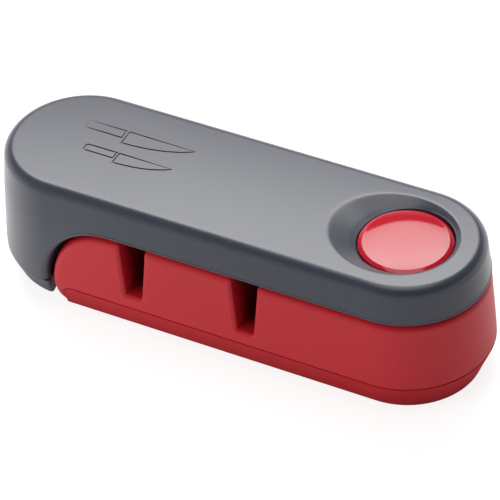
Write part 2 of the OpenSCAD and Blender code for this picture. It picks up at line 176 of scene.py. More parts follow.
def carve(target, cutters, operation="DIFFERENCE"):
    # Boolean of the target with each cutter in turn, kept as plain mesh. One that does not come out is tried
    # again with the cutter moved by a hair or with the other solver, and left out if none of those does
    for cutter in cutters:
        before, tool, moved = sizeOf(target.data), sizeOf(cutter.data), 0.0
        for solver, shift in carveTries:
            cutter.data.transform(Matrix.Translation(Vector((1, 0.7, 0.3)) * (shift - moved) * mm))
            moved = shift
            change = target.modifiers.new("carve", "BOOLEAN")
            change.operation = operation
            change.solver = solver
            change.object = cutter
            bpy.context.view_layer.update()
            evaluated = target.evaluated_get(bpy.context.evaluated_depsgraph_get())
            result = bpy.data.meshes.new_from_object(evaluated)
            target.modifiers.clear()
            if sound(sizeOf(result), before, tool, operation):
                target.data = result
                break
            print("carve", target.name, cutter.name, "did not come out with", solver, "at", shift)
        else:
            print("carve", target.name, cutter.name, "left out")
        bpy.data.objects.remove(cutter)


def shade(made, angle):  # smooth shading with edges kept sharp past the angle
    made.data.polygons.foreach_set("use_smooth", np.ones(len(made.data.polygons), bool))
    made.data.set_sharp_from_angle(angle=math.radians(angle))


def finishPiece(made, body, replaced, angle=32):
    # Shades a piece, hangs it on its body, and hides the CAD nodes it replaces
    shade(made, angle)
    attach(made, body)
    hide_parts(*replaced)
    print("piece", made.name, len(made.data.vertices), "points")
    return made

straight = 2 * pivotX  # lengths of one side, of one round end and of the whole outline
halfRound = math.pi * halfWidth
fullRound = 2 * straight + 2 * halfRound


def roundBody(along):
    # Middle-line x and outward direction at a distance along the body's outline:
    # front side, round end at the pivot, back side, far round end
    along = np.mod(along, fullRound)
    zones = [along < straight, along < straight + halfRound, along < 2 * straight + halfRound]
    middles = [along - pivotX, np.full_like(along, pivotX), pivotX - (along - straight - halfRound)]
    middle = np.select(zones, middles, -pivotX)
    turns = [np.full_like(along, -np.pi / 2), -np.pi / 2 + (along - straight) / halfWidth,
             np.full_like(along, np.pi / 2)]
    turn = np.select(zones, turns, np.pi / 2 + (along - 2 * straight - halfRound) / halfWidth)
    return middle, np.cos(turn), np.sin(turn)


def onBody(along, radius, z):
    # Point at a distance along the outline, a radius out from the middle line, at height z
    middle, dx, dy = roundBody(along)
    return np.stack(np.broadcast_arrays(middle + dx * radius, dy * radius, z), -1)


def quadratic(a, b, c, steps):  # points from a to c on the quadratic curve that is pulled towards b
    t = np.linspace(0, 1, steps + 1)[:, None]
    a, b, c = (np.asarray(p, float) for p in (a, b, c))
    return (1 - t) ** 2 * a + 2 * t * (1 - t) * b + t ** 2 * c


def noseOutline(radius, reach, cornerX, cornerY, sideSteps=110, endSteps=56, noseSteps=44, cornerSteps=9):
    # Closed outline of the base at one height: two sides a radius out from the middle line, a round end about
    # the pivot, and a nose that is an arc of the given reach about the pivot. A quadratic curve rounds each
    # corner between side and nose
    cut = pivotX - math.sqrt(reach ** 2 - radius ** 2)
    fromX = cut + cornerX
    side = np.linspace(0, 1, sideSteps)
    front = np.stack([fromX + (pivotX - fromX) * side, np.full(sideSteps, -radius)], -1)
    end = arc(pivotX, 0, radius, -90, 90, endSteps)[1:-1]
    innerY = radius - cornerY
    half = math.degrees(math.asin(innerY / reach))
    nose = arc(pivotX, 0, reach, 180 - half, 180 + half, noseSteps)
    back = front[::-1] * [1, -1]
    backCorner = quadratic(back[-1], (cut, radius), nose[0], cornerSteps + 1)[1:-1]
    frontCorner = quadratic(nose[-1], (cut, -radius), front[0], cornerSteps + 1)[1:-1]
    return np.vstack([front, end, back, backCorner, nose, frontCorner])


handleLook = {"topEdge": 3.3, "edgeTurn": 84, "wall": 2.2, "archMiddle": 83.2, "archRadius": 21.5, "archEnd": -4,
              "lipRadius": 0.45, "legRadius": 1.9, "bead": 0.12, "beadHeight": 0.4, "scoopLean": 12.0,
              "scoopAngle": 60.6, "scoopTip": (5.4, -8.7), "scoopSoftness": 0.1, "mouthCentre": (46.8, 0.0),
              "mouthReach": (12.0, 24.0), "holeRadius": 13.6, "holeEdge": 0.25, "holeHeights": (40.05, 40.6),
              "ceiling": 41.4, "crown": 0.55, "crownReach": 19, "aboveSeam": 0.15, "steps": 520}


def archHeight(along):
    # Height of the handle's lower edge: flat near the pivot, then a quarter circle in distance from the pivot,
    # then down the leg to below the seam. The distance depends on the width there, so it is found by repeating
    v = handleLook
    middle, dx, dy = roundBody(along)
    z = np.full(len(along), 24.0)  # a first guess within the arch
    for _ in range(14):
        radius = shellRadius(z)
        distance = np.hypot(middle + dx * radius - pivotX, dy * radius)
        inside = np.clip(distance - v["archMiddle"], 0, v["archRadius"])
        found = underZ - v["archRadius"] + np.sqrt(v["archRadius"] ** 2 - inside ** 2)
        found = np.where(distance > v["archMiddle"] + v["archRadius"], v["archEnd"], found)
        z = 0.5 * z + 0.5 * found
    return z


def scoopParts(x, y):
    # Heights of the scoop's cone, whose axis leans away from the pivot end, and of the crowned top, which falls
    # as the square of the distance from the middle line. The cone's is the upper root of its quadratic
    v = handleLook
    dx, lean, half = x - pivotX - v["scoopTip"][0], math.radians(v["scoopLean"]), math.radians(v["scoopAngle"])
    a = math.cos(lean) ** 2 - math.cos(half) ** 2
    b = -2 * dx * math.sin(lean) * math.cos(lean)
    c = dx ** 2 * math.sin(lean) ** 2 - math.cos(half) ** 2 * (dx ** 2 + y ** 2)
    cone = topZ + v["scoopTip"][1] + (-b + np.sqrt(np.maximum(b * b - 4 * a * c, 0))) / (2 * a)
    return cone, topZ - v["crown"] * ((np.maximum(np.abs(x) - pivotX, 0) ** 2 + y ** 2) / v["crownReach"] ** 2)


def scoopHeight(x, y):  # the lower of cone and top, blended over the softness as a smooth minimum
    cone, flat = scoopParts(x, y)
    k = handleLook["scoopSoftness"]
    least = np.minimum(cone, flat)
    return least - k * np.log(np.exp(-(cone - least) / k) + np.exp(-(flat - least) / k))


def handleSurface():
    # One closed sheet: hole wall, scoop, top, rounded edge, side, rolled lip, inner wall and ceiling, for each
    # place along the outline. Places are spaced evenly along the lower edge, so the arch gets its share
    v = handleLook
    dense = np.linspace(0, fullRound, 12001)
    edge = archHeight(dense)
    length = np.concatenate([[0], np.cumsum(np.hypot(np.diff(dense), np.diff(edge) * 0.8))])
    even = np.linspace(0, length[-1], v["steps"], endpoint=False)
    along, low = np.interp(even, length, dense), np.interp(even, length, edge)
    before, after = np.roll(along, 1), np.roll(along, -1)
    run = (after - before + fullRound) % fullRound
    rise = np.roll(low, -1) - np.roll(low, 1)
    slant = np.hypot(run, rise)
    outA, outZ = rise / slant, -run / slant  # direction in the side surface towards the open arch
    roll = v["lipRadius"] + (v["legRadius"] - v["lipRadius"]) * np.abs(outA) ** 1.5
    kernel = np.hanning(9)
    kernel /= kernel.sum()
    soften = lambda q: np.convolve(np.concatenate([q[-4:], q, q[:4]]), kernel, "valid")
    outA, outZ, roll = soften(outA), soften(outZ), soften(roll)
    # The rows fan out upwards from the leg's edge: their places are averaged over a wide run of neighbours
    wide = 60
    bell = np.exp(-0.5 * (np.arange(-wide, wide + 1) / 20) ** 2)
    unrolled = np.concatenate([along[-wide:] - fullRound, along, along[:wide] + fullRound])
    fan = np.convolve(unrolled, bell / bell.sum(), "valid")

    shoulderZ = topZ - v["topEdge"] - v["crown"]
    shoulder = sideRadius(shoulderZ)
    rim = onBody(fan, shoulder - v["topEdge"], topZ)[:, :2]
    mouthCentre = np.array(v["mouthCentre"])
    toRim = rim - mouthCentre
    turn = np.arctan2(toRim[:, 1], toRim[:, 0])
    heading = np.stack([np.cos(turn), np.sin(turn)], -1)
    hole = np.stack([pivotX + v["holeRadius"] * np.cos(turn), v["holeRadius"] * np.sin(turn)], -1)
    near, far = (np.full(len(turn), reach) for reach in v["mouthReach"])
    for _ in range(24):  # the scoop's mouth, where cone and top meet, found by halving
        reach = (near + far) / 2
        cone, flat = scoopParts(*(mouthCentre + heading * reach[:, None]).T)
        near, far = np.where(cone < flat, reach, near), np.where(cone < flat, far, reach)
    mouth = mouthCentre + heading * reach[:, None]
    holeTop = scoopHeight(hole[:, 0], hole[:, 1])

    rows = []
    outwards = (hole - [pivotX, 0]) / v["holeRadius"]
    for z in v["holeHeights"]:
        rows.append(np.column_stack([hole, np.full(len(hole), z)]))
    for a in (0, 30, 60, 90):  # small rounded edge of the hole
        out = v["holeEdge"] * (1 - math.cos(math.radians(a)))
        drop = v["holeEdge"] * (1 - math.sin(math.radians(a)))
        rows.append(np.column_stack([hole + outwards * out, holeTop - drop]))
    start = hole + outwards * v["holeEdge"]
    for share in (0.12, 0.25, 0.38, 0.5, 0.62, 0.74, 0.84, 0.9, 0.94, 0.97, 0.985, 1.0):  # scoop, closer at its mouth
        flat = start + (mouth - start) * share
        rows.append(np.column_stack([flat, scoopHeight(flat[:, 0], flat[:, 1])]))
    for share in (0.008, 0.018, 0.035, 0.07, 0.15, 0.28, 0.5, 0.75, 1.0):  # top, from the mouth to the rim
        flat = mouth + (rim - mouth) * share
        rows.append(np.column_stack([flat, scoopHeight(flat[:, 0], flat[:, 1])]))
    for a in np.linspace(0, v["edgeTurn"], 13)[1:]:  # rounded edge of the top
        r = shoulder - v["topEdge"] + v["topEdge"] * math.sin(math.radians(a))
        z = shoulderZ + v["topEdge"] * math.cos(math.radians(a))
        rows.append(onBody(fan, r, z))
    startZ = shoulderZ + v["topEdge"] * math.cos(math.radians(v["edgeTurn"]))
    bead = v["bead"] * (1 - np.abs(outA) ** 1.5)
    margin = roll + v["beadHeight"]
    endA, endZ = along - margin * outA, low - margin * outZ
    for share in np.linspace(0, 1, 21)[1:]:  # side
        z = startZ + (endZ - startZ) * share
        rows.append(onBody(fan + (endA - fan) * share, shellRadius(z), z))
    for drop, share in ((0.02, 0.35), (0.05, 0.75), (0.09, 0.95), (0.16, 1.0), (v["beadHeight"], 1.0)):
        back = margin - drop  # small bead above the lip
        z = low - back * outZ
        rows.append(onBody(along - back * outA, shellRadius(z) + bead * share, z))
    for a in (18, 36, 54, 72, 90):  # lip rolled from the side into the underside
        s, c = math.sin(math.radians(a)), math.cos(math.radians(a))
        z = low - roll * outZ * (1 - s)
        rows.append(onBody(along - roll * outA * (1 - s), shellRadius(z) + bead - roll * (1 - c), z))
    rows.append(onBody(along, shellRadius(low) - v["wall"], low))
    for share in np.linspace(0, 1, 9)[1:]:  # inner wall
        z = low + (v["ceiling"] - low) * share
        rows.append(onBody(along + (fan - along) * share, shellRadius(z) - v["wall"], z))
    inner = rows[-1]
    for share in (0.3, 0.6, 0.9):  # ceiling
        flat = inner[:, :2] + (hole - inner[:, :2]) * share
        rows.append(np.column_stack([flat, inner[:, 2] + (v["holeHeights"][0] - inner[:, 2]) * share]))
    return surface(np.stack(rows, 1), True, True)


def outlineBand(points, width, low, high):
    # Thin band along a closed outline: each corner is offset both ways along its mitre, between two heights
    points = np.asarray(points, float)
    ahead = np.roll(points, -1, 0) - points
    ahead /= np.linalg.norm(ahead, axis=1)[:, None]
    normal = np.stack([-ahead[:, 1], ahead[:, 0]], -1)
    mitre = normal + np.roll(normal, 1, 0)
    mitre /= np.maximum((mitre * normal).sum(1), 0.45)[:, None]  # the limit keeps sharp corners short
    grid = np.empty((len(points), 4, 3))
    for column, (side, z) in enumerate(((-1, low), (1, low), (1, high), (-1, high))):
        grid[:, column, :2] = points + mitre * side * width / 2
        grid[:, column, 2] = z
    return surface(grid, True, True)


markLook = {"width": 0.5, "depth": 0.32, "chef": (-52.5, 6.6, 1.0), "paring": (-48.0, -2.6, 0.8)}


def knifeOutlines(place):
    # A plain kitchen knife from the side: a grip with round corners and a blade whose edge curves up to the tip
    x, y, k = place
    grip = np.vstack([quadratic((0.9, 1.6), (0, 1.6), (0, 0.7), 12),
                      quadratic((0, -0.6), (0, -1.5), (0.9, -1.5), 12), [[12.0, -1.6], [12.0, 1.6]]])
    blade = np.vstack([[[13.1, 1.6], [13.1, -3.6]], quadratic((14.2, -3.6), (27.0, -3.2), (34.0, 1.4), 12)])
    return [grip * k + [x, y], blade * k + [x, y]]


shell = newObject("handleShell", meshFrom("handleShell", [handleSurface()]))
work = bmesh.new()  # the leg ends in a flat cut just above the foot
work.from_mesh(shell.data)
cutPlace = (seamZ + handleLook["aboveSeam"]) * mm
bmesh.ops.bisect_plane(work, geom=work.verts[:] + work.edges[:] + work.faces[:], plane_co=(0, 0, cutPlace),
                       plane_no=(0, 0, -1), clear_outer=True)
openEdges = [e for e in work.edges if e.is_boundary]
bmesh.ops.triangle_fill(work, use_beauty=True, edges=openEdges, normal=(0, 0, -1))
bmesh.ops.recalc_face_normals(work, faces=work.faces)
work.to_mesh(shell.data)
work.free()
marks = []
for place in (markLook["chef"], markLook["paring"]):
    for outline in knifeOutlines(place):
        marks.append(outlineBand(outline, markLook["width"], topZ - markLook["depth"], topZ + 1))
carve(shell, [newObject("marks", meshFrom("marks", marks))])
finishPiece(shell, "handle", ["handle_shell"])
print("handle done")


footLook = {"corner": 1.3, "under": 0.6, "lip": 0.12, "archReach": 104.2, "screwHoles": ((-61.5, 8), (-61.5, -8)),
            "bore": [(0, 0), (2.7, 0), (2.7, 6), (1.5, 6), (1.5, 13), (0, 13)]}  # radius and height


def footOutline(radius, reach, corner):
    # Closed outline of the leg at one height: the body's round end, a rounded corner, the arch's arc about the
    # pivot and the other corner. The two arcs meet on their common chord
    x = (radius ** 2 - reach ** 2) / (4 * pivotX)
    y = math.sqrt(radius ** 2 - (x + pivotX) ** 2)
    outer = math.degrees(math.atan2(y, -(x + pivotX)) - corner / radius)
    inner = math.degrees(math.asin(y / reach) - corner / reach)
    end = arc(-pivotX, 0, radius, 180 + outer, 180 - outer, 70)
    arch = arc(pivotX, 0, reach, 180 - inner, 180 + inner, 50)
    tip, otherTip = (x, y), (x, -y)
    return np.vstack([end, quadratic(end[-1], tip, arch[0], 8)[1:-1], arch,
                      quadratic(arch[-1], otherTip, end[0], 8)[1:-1]])


def footSurface():
    # Leg outlines stacked from the rounded underside up to the seam, drawn in a hair at the seam
    v = footLook
    low = boxMm("handle_foot")[0][2]
    a = np.radians(np.linspace(0, 90, 8))
    upright = np.linspace(low + v["under"], seamZ - v["lip"], 9)[1:]
    heights = np.concatenate([low + v["under"] * (1 - np.cos(a)), upright, seamZ - v["lip"] * (1 - np.sin(a[1:]))])
    insets = np.concatenate([v["under"] * (1 - np.sin(a)), np.zeros(8), v["lip"] * (1 - np.cos(a[1:]))])
    rows = []
    for z, inset in zip(heights, insets):
        flat = footOutline(sideRadius(z) - inset, v["archReach"] + inset, v["corner"])
        rows.append(np.column_stack([flat, np.full(len(flat), z)]))
    return surface(np.stack(rows, 1), True, False, True, True)


foot = newObject("handleFoot", meshFrom("handleFoot", [footSurface()]))
bores = [surface(lathe(footLook["bore"], centre, 40), True, False) for centre in footLook["screwHoles"]]
carve(foot, [newObject("bores", meshFrom("bores", bores))])
finishPiece(foot, "handle", ["handle_foot"])
print("foot done")


baseLook = {"noseMiddle": 82.1, "noseRadius": 20.7, "noseStart": 10.5, "noseFoot": 5.0, "deckRound": 2.0,
            "corner": 2.0, "cornerStretch": 0.16, "skinGap": 0.04, "deckEnd": -18, "footEnd": -30,
            "slotMouth": 8.3, "slotRoot": 5.0, "slotFloor": 13.8, "slotRound": 1.0, "floorRound": 0.7,
            "flareTurn": 76,
            "hub": [(9.5, 30.5), (9.5, 34.3), (9.8, 34.6), (12.7, 34.6), (13.0, 34.3), (13.0, 31.4), (13.4, 31.16),
                    (13.4, 30.5)]}  # radius and height
slotCentres = []
for stage in ("coarse", "fine"):
    frameLow, frameHigh = boxMm(stage + "_wheel_frame")
    slotCentres.append(float(np.mean([frameLow[0], frameHigh[0]])))


def baseSurface(shrink):
    # Base as outlines stacked up: each has the side's half width and the nose's reach at its height, both drawn
    # in along quarter circles where the deck and the nose round over. Deck and underside close on the middle line
    v = baseLook
    low, top = housingZ, deckZ - shrink
    reachMax = v["noseMiddle"] + v["noseRadius"]
    a = np.radians(np.linspace(0, 90, 11))
    rise = np.radians(np.linspace(0, 90, 46))
    z = np.concatenate([low + v["noseFoot"] * (1 - np.cos(a)),
                        np.linspace(low + v["noseFoot"], v["noseStart"], 7)[1:],
                        v["noseStart"] + v["noseRadius"] * np.sin(rise)[1:]])
    under = np.clip((low + v["noseFoot"] - z) / v["noseFoot"], 0, 1)
    over = np.clip((z - v["noseStart"]) / v["noseRadius"], 0, 1)
    reach = reachMax - v["noseFoot"] * (1 - np.sqrt(1 - under ** 2)) - v["noseRadius"] * (1 - np.sqrt(1 - over ** 2))
    edge = np.clip((z - (deckZ - v["deckRound"])) / v["deckRound"], 0, 1)
    radius = sideRadius(z) - v["deckRound"] * (1 - np.sqrt(1 - edge ** 2))
    cornerX = v["corner"] / np.maximum(np.sqrt(1 - over ** 2), v["cornerStretch"])
    rows = []
    for i in range(len(z)):  # one outline per height
        flat = noseOutline(radius[i] - shrink, reach[i] - shrink, cornerX[i], v["corner"])
        rows.append(np.column_stack([flat, np.full(len(flat), min(z[i], top))]))
    ends = []
    for row, endX in ((rows[0], v["footEnd"]), (rows[-1], v["deckEnd"])):
        for share in (0.35, 1.0):
            x = np.clip(row[:, 0], endX, pivotX)
            ends.append(np.column_stack([row[:, 0] + (x - row[:, 0]) * share, row[:, 1] * (1 - share), row[:, 2]]))
    rows = [ends[1], ends[0]] + rows + [ends[2], ends[3]]
    return surface(np.stack(rows, 1), True, False)


def slotGrid(centre):
    # Points of a blade slot's cutter: a U outline with a small round at its floor, carried across the body. Near
    # the sides and the deck it flares along its own normal as a quarter circle, which rounds those edges
    v = baseLook
    slope = (v["slotMouth"] - v["slotRoot"]) / 2 / (deckZ - v["slotFloor"])
    mouthTurns = np.radians(np.linspace(v["flareTurn"], 0, 9))
    down = np.concatenate([np.linspace(deckZ + 3, deckZ + 0.1, 3), deckZ - v["slotRound"] * (1 - np.sin(mouthTurns)),
                           np.linspace(deckZ - v["slotRound"], v["slotFloor"] + v["floorRound"], 14)[1:]])
    half = v["slotRoot"] / 2 + slope * (down - v["slotFloor"])
    left = np.stack([-half, down], -1)
    corner = arc(-half[-1] + v["floorRound"], v["slotFloor"] + v["floorRound"], v["floorRound"], 180, 270, 6)[1:]
    profile = np.vstack([left, corner])
    profile = np.vstack([profile, (profile * [-1, 1])[::-1]])
    normal = np.gradient(profile, axis=0)
    normal = np.stack([normal[:, 1], -normal[:, 0]], -1)
    normal /= np.linalg.norm(normal, axis=1)[:, None]
    normal *= np.sign(normal[2, 0]) * -1
    toDeck = np.clip((profile[:, 1] - (deckZ - v["slotRound"])) / v["slotRound"], 0, 0.97)
    deckFlare = v["slotRound"] * (1 - np.sqrt(1 - toDeck ** 2))
    a = np.sin(np.radians(np.linspace(0, v["flareTurn"], 10)))
    widthHere = sideRadius(np.minimum(profile[:, 1], deckZ)) - v["skinGap"]
    inner = np.linspace(0, 1, 8)[None, :] * (widthHere[:, None] - v["slotRound"])
    outer = (widthHere[:, None] - v["slotRound"]) + v["slotRound"] * a[None, 1:]
    past = widthHere[:, None] + np.array([[1.5]])  # runs on out of the body
    reach = np.concatenate([inner, outer, past], 1)
    outerFlare = v["slotRound"] * (1 - np.sqrt(1 - np.broadcast_to(a[None, 1:], outer.shape) ** 2))
    pastFlare = np.full_like(past, v["slotRound"] * (1 - math.sqrt(1 - a[-1] ** 2)) + 0.5)
    flareSide = np.concatenate([np.zeros_like(inner), outerFlare, pastFlare], 1)
    reach = np.concatenate([-reach[:, :0:-1], reach], 1)
    flareSide = np.concatenate([flareSide[:, :0:-1], flareSide], 1)
    flare = flareSide + deckFlare[:, None]
    grid = np.empty(reach.shape + (3,))
    grid[..., 0] = centre + profile[:, 0:1] + normal[:, 0:1] * flare
    grid[..., 1] = reach
    grid[..., 2] = profile[:, 1:2] + normal[:, 1:2] * flareSide
    return grid


def closedSlot(centre):  # the cutter's sheet with a face over each of its two ends
    grid = slotGrid(centre)
    points, faces = surface(grid, True, False)
    nu, nv = grid.shape[:2]
    start = [int(i) for i in np.arange(nu) * nv]
    end = [int(i) for i in (np.arange(nu) * nv + nv - 1)[::-1]]
    return points, faces + [start, end]


merged = newObject("baseHousing", nodes["base_housing"].data.copy())
tidyMesh(merged.data, 0.004)
form = newObject("form", meshFrom("form", [baseSurface(baseLook["skinGap"])]))
carve(form, [newObject("slot", meshFrom("slot", [closedSlot(c)])) for c in slotCentres])
carve(merged, [form], "INTERSECT")
hub = surface(lathe(baseLook["hub"], (pivotX, 0)), True, True)
carve(merged, [newObject("hub", meshFrom("hub", [hub]))], "UNION")
finishPiece(merged, "base", ["base_housing"])
print("base done")


buttonLook = {"domeRise": 0.88, "domeRadius": 11.9, "domePower": 2.9, "joint": 0.12, "skirtRound": 0.4,
              "skirtDrop": 0.8, "hollow": 2.2, "wall": 1.6, "flange": (38.53, 38.65),
              "pegRadius": 1.2, "pegReach": 7.4, "pegHeights": (37.7, 41.2), "pegTurns": (60, 180, 300)}


def buttonSurface():
    # Turned outline: skirt, small round, sloping rim band, then a dome that falls as a power of the radius, so it is
    # nearly flat in the middle and curves towards its edge; closed underneath
    v = buttonLook
    radius = (capHigh[0] - capLow[0]) / 2
    crown = capHigh[2]
    shoulder = crown - v["domeRise"]
    r = np.linspace(0, v["domeRadius"] - v["joint"], 40)
    dome = np.stack([r, crown - v["domeRise"] * (r / v["domeRadius"]) ** v["domePower"]], -1)[::-1]
    skirt = arc(radius - v["skirtRound"], shoulder - v["skirtDrop"], v["skirtRound"], 0, 52, 6)
    band = np.array([[v["domeRadius"] + v["joint"], shoulder - 0.02], [v["domeRadius"], shoulder + 0.015]])
    ceiling, (flangeLow, flangeHigh) = capLow[2] + v["hollow"], v["flange"]
    inside = [[0, ceiling], [radius - v["wall"], ceiling], [radius - v["wall"], flangeLow],
              [radius - 0.1, flangeLow], [radius, flangeHigh]]
    outline = np.vstack([inside, skirt, band, dome])
    outline[:, 0] = np.maximum(outline[:, 0], 0.0)
    return surface(lathe(outline, (pivotX, 0), 160), True, False)


pegs = []
for a in np.radians(buttonLook["pegTurns"]):
    reach, (bottom, top) = buttonLook["pegReach"], buttonLook["pegHeights"]
    peg = [(0, bottom), (buttonLook["pegRadius"], bottom), (buttonLook["pegRadius"], top), (0, top)]
    pegs.append(surface(lathe(peg, (pivotX + reach * math.cos(a), reach * math.sin(a)), 24), True, False))
button = newObject("buttonCap", meshFrom("buttonCap", [buttonSurface()] + pegs))
finishPiece(button, "button", ["button_cap"], 14)


springLook = {"turns": 6.5, "wire": 0.5, "radius": 5.7, "flatShare": 0.1}


def springSurface():
    # Coil: a small circle carried along a helix whose first and last turns lie flat
    turns, wire, radius, flat = (springLook[k] for k in ("turns", "wire", "radius", "flatShare"))
    low, high = boxMm("button_spring")[0][2] + wire, boxMm("button_spring")[1][2] - wire
    t = np.linspace(0, 1, 520)
    z = low + (high - low) * np.clip((t - flat) / (1 - 2 * flat), 0, 1)
    a = t * turns * 2 * np.pi
    path = np.stack([pivotX + radius * np.cos(a), radius * np.sin(a), z], -1)
    out = np.stack([np.cos(a), np.sin(a), np.zeros_like(a)], -1)
    ring = (np.arange(10) / 10 * 2 * np.pi)[:, None, None]
    grid = path[None] + wire * (np.cos(ring) * out[None] + np.sin(ring) * np.array([0, 0, 1.0]))
    return surface(grid, True, False, True, True)


spring = newObject("buttonSpring", meshFrom("buttonSpring", [springSurface()], 0.0005))
finishPiece(spring, "base", ["button_spring"], 60)
print("button done")


def newGroup(name, inputs):  # node group with these inputs that gives a colour, a roughness and a height
    group = bpy.data.node_groups.new(name, "ShaderNodeTree")
    for label, kind, value in inputs:
        socket = group.interface.new_socket(name=label, in_out="INPUT", socket_type=kind)
        socket.default_value = value
    for label, kind in (("Colour", "NodeSocketColor"), ("Roughness", "NodeSocketFloat"),
                        ("Height", "NodeSocketFloat")):
        group.interface.new_socket(name=label, in_out="OUTPUT", socket_type=kind)
    return group, group.nodes.new("NodeGroupInput"), group.nodes.new("NodeGroupOutput")


def node(tree, kind, **settings):  # new node; a setting is an input's value where there is such an input
    made = tree.nodes.new(kind)
    for key, value in settings.items():
        if key in made.inputs.keys():
            made.inputs[key].default_value = value
        else:
            setattr(made, key, value)
    return made


def maths(tree, operation, a, b=None, c=None):  # result of an operation on numbers or sockets
    made = tree.nodes.new("ShaderNodeMath")
    made.operation = operation
    for place, value in enumerate((a, b, c)):
        if value is None:
            continue
        if isinstance(value, (int, float)):
            made.inputs[place].default_value = value
        else:
            tree.links.new(value, made.inputs[place])
    return made.outputs[0]


def away(tree, value, amount, centre):  # centre plus amount times how far the value is from a half
    return maths(tree, "MULTIPLY_ADD", maths(tree, "SUBTRACT", value, 0.5), amount, centre)


def texture(tree, kind, place, **settings):  # texture or mapping node read at a place
    made = node(tree, kind, **settings)
    tree.links.new(place, made.inputs["Vector"])
    return made


def toned(tree, colour, amount):  # colour times an amount
    made = node(tree, "ShaderNodeVectorMath", operation="SCALE")
    tree.links.new(colour, made.inputs[0])
    tree.links.new(amount, made.inputs["Scale"])
    return made.outputs[0]


def mouldedPlastic():
    # Spark-eroded grain, slow drift of tone and gloss, and faint flow marks along the part: tone is one plus the
    # shares of drift and grain, roughness its value plus the shares of flow marks and drift
    tree, given, out = newGroup("mouldedPlastic", [
        ("Colour", "NodeSocketColor", (0.5, 0.5, 0.5, 1)), ("Roughness", "NodeSocketFloat", 0.45),
        ("Grain Size", "NodeSocketFloat", 2600.0), ("Tone Drift", "NodeSocketFloat", 0.06),
        ("Gloss Drift", "NodeSocketFloat", 0.05)])
    place = node(tree, "ShaderNodeTexCoord").outputs["Object"]
    grain = texture(tree, "ShaderNodeTexNoise", place, Detail=3.0, Roughness=0.6)
    tree.links.new(given.outputs["Grain Size"], grain.inputs["Scale"])
    drift = texture(tree, "ShaderNodeTexNoise", place, Scale=28.0, Detail=2.0)
    stretch = texture(tree, "ShaderNodeMapping", place, Scale=(12, 260, 260))
    flow = texture(tree, "ShaderNodeTexNoise", stretch.outputs[0], Scale=1.0, Detail=2.0)
    tone = away(tree, drift.outputs["Fac"], given.outputs["Tone Drift"], 1.0)
    tone = away(tree, grain.outputs["Fac"], given.outputs["Tone Drift"], tone)
    gloss = away(tree, flow.outputs["Fac"], given.outputs["Gloss Drift"], given.outputs["Roughness"])
    gloss = away(tree, drift.outputs["Fac"], given.outputs["Gloss Drift"], gloss)
    tree.links.new(toned(tree, given.outputs["Colour"], tone), out.inputs["Colour"])
    tree.links.new(gloss, out.inputs["Roughness"])
    tree.links.new(grain.outputs["Fac"], out.inputs["Height"])
    return tree


def workedSteel():  # turned or drawn steel: fine rings and streaks in tone and gloss, over a slow stain
    tree, given, out = newGroup("workedSteel", [
        ("Colour", "NodeSocketColor", (0.5, 0.5, 0.5, 1)), ("Roughness", "NodeSocketFloat", 0.3),
        ("Streaks", "NodeSocketFloat", 0.25)])
    place = node(tree, "ShaderNodeTexCoord").outputs["Object"]
    stretch = texture(tree, "ShaderNodeMapping", place, Scale=(900, 900, 9000))
    streak = texture(tree, "ShaderNodeTexNoise", stretch.outputs[0], Scale=1.0, Detail=3.0)
    stain = texture(tree, "ShaderNodeTexNoise", place, Scale=240.0, Detail=2.0)
    tone = away(tree, streak.outputs["Fac"], given.outputs["Streaks"], 1.0)
    tone = away(tree, stain.outputs["Fac"], 0.2, tone)
    gloss = away(tree, streak.outputs["Fac"], given.outputs["Streaks"], given.outputs["Roughness"])
    tree.links.new(toned(tree, given.outputs["Colour"], tone), out.inputs["Colour"])
    tree.links.new(gloss, out.inputs["Roughness"])
    tree.links.new(streak.outputs["Fac"], out.inputs["Height"])
    return tree


def firedGrit():  # fired ceramic: grit cells over a slow mottle, which also sets the roughness
    tree, given, out = newGroup("firedGrit", [
        ("Colour", "NodeSocketColor", (0.5, 0.5, 0.5, 1)), ("Grit Size", "NodeSocketFloat", 6000.0),
        ("Contrast", "NodeSocketFloat", 0.5)])
    place = node(tree, "ShaderNodeTexCoord").outputs["Object"]
    cells = texture(tree, "ShaderNodeTexVoronoi", place)
    tree.links.new(given.outputs["Grit Size"], cells.inputs["Scale"])
    mottle = texture(tree, "ShaderNodeTexNoise", place, Scale=500.0, Detail=4.0)
    tone = away(tree, cells.outputs["Distance"], given.outputs["Contrast"], 1.0)
    tone = away(tree, mottle.outputs["Fac"], given.outputs["Contrast"], tone)
    gloss = maths(tree, "MULTIPLY_ADD", mottle.outputs["Fac"], 0.3, 0.5)
    tree.links.new(toned(tree, given.outputs["Colour"], tone), out.inputs["Colour"])
    tree.links.new(gloss, out.inputs["Roughness"])
    tree.links.new(cells.outputs["Distance"], out.inputs["Height"])
    return tree


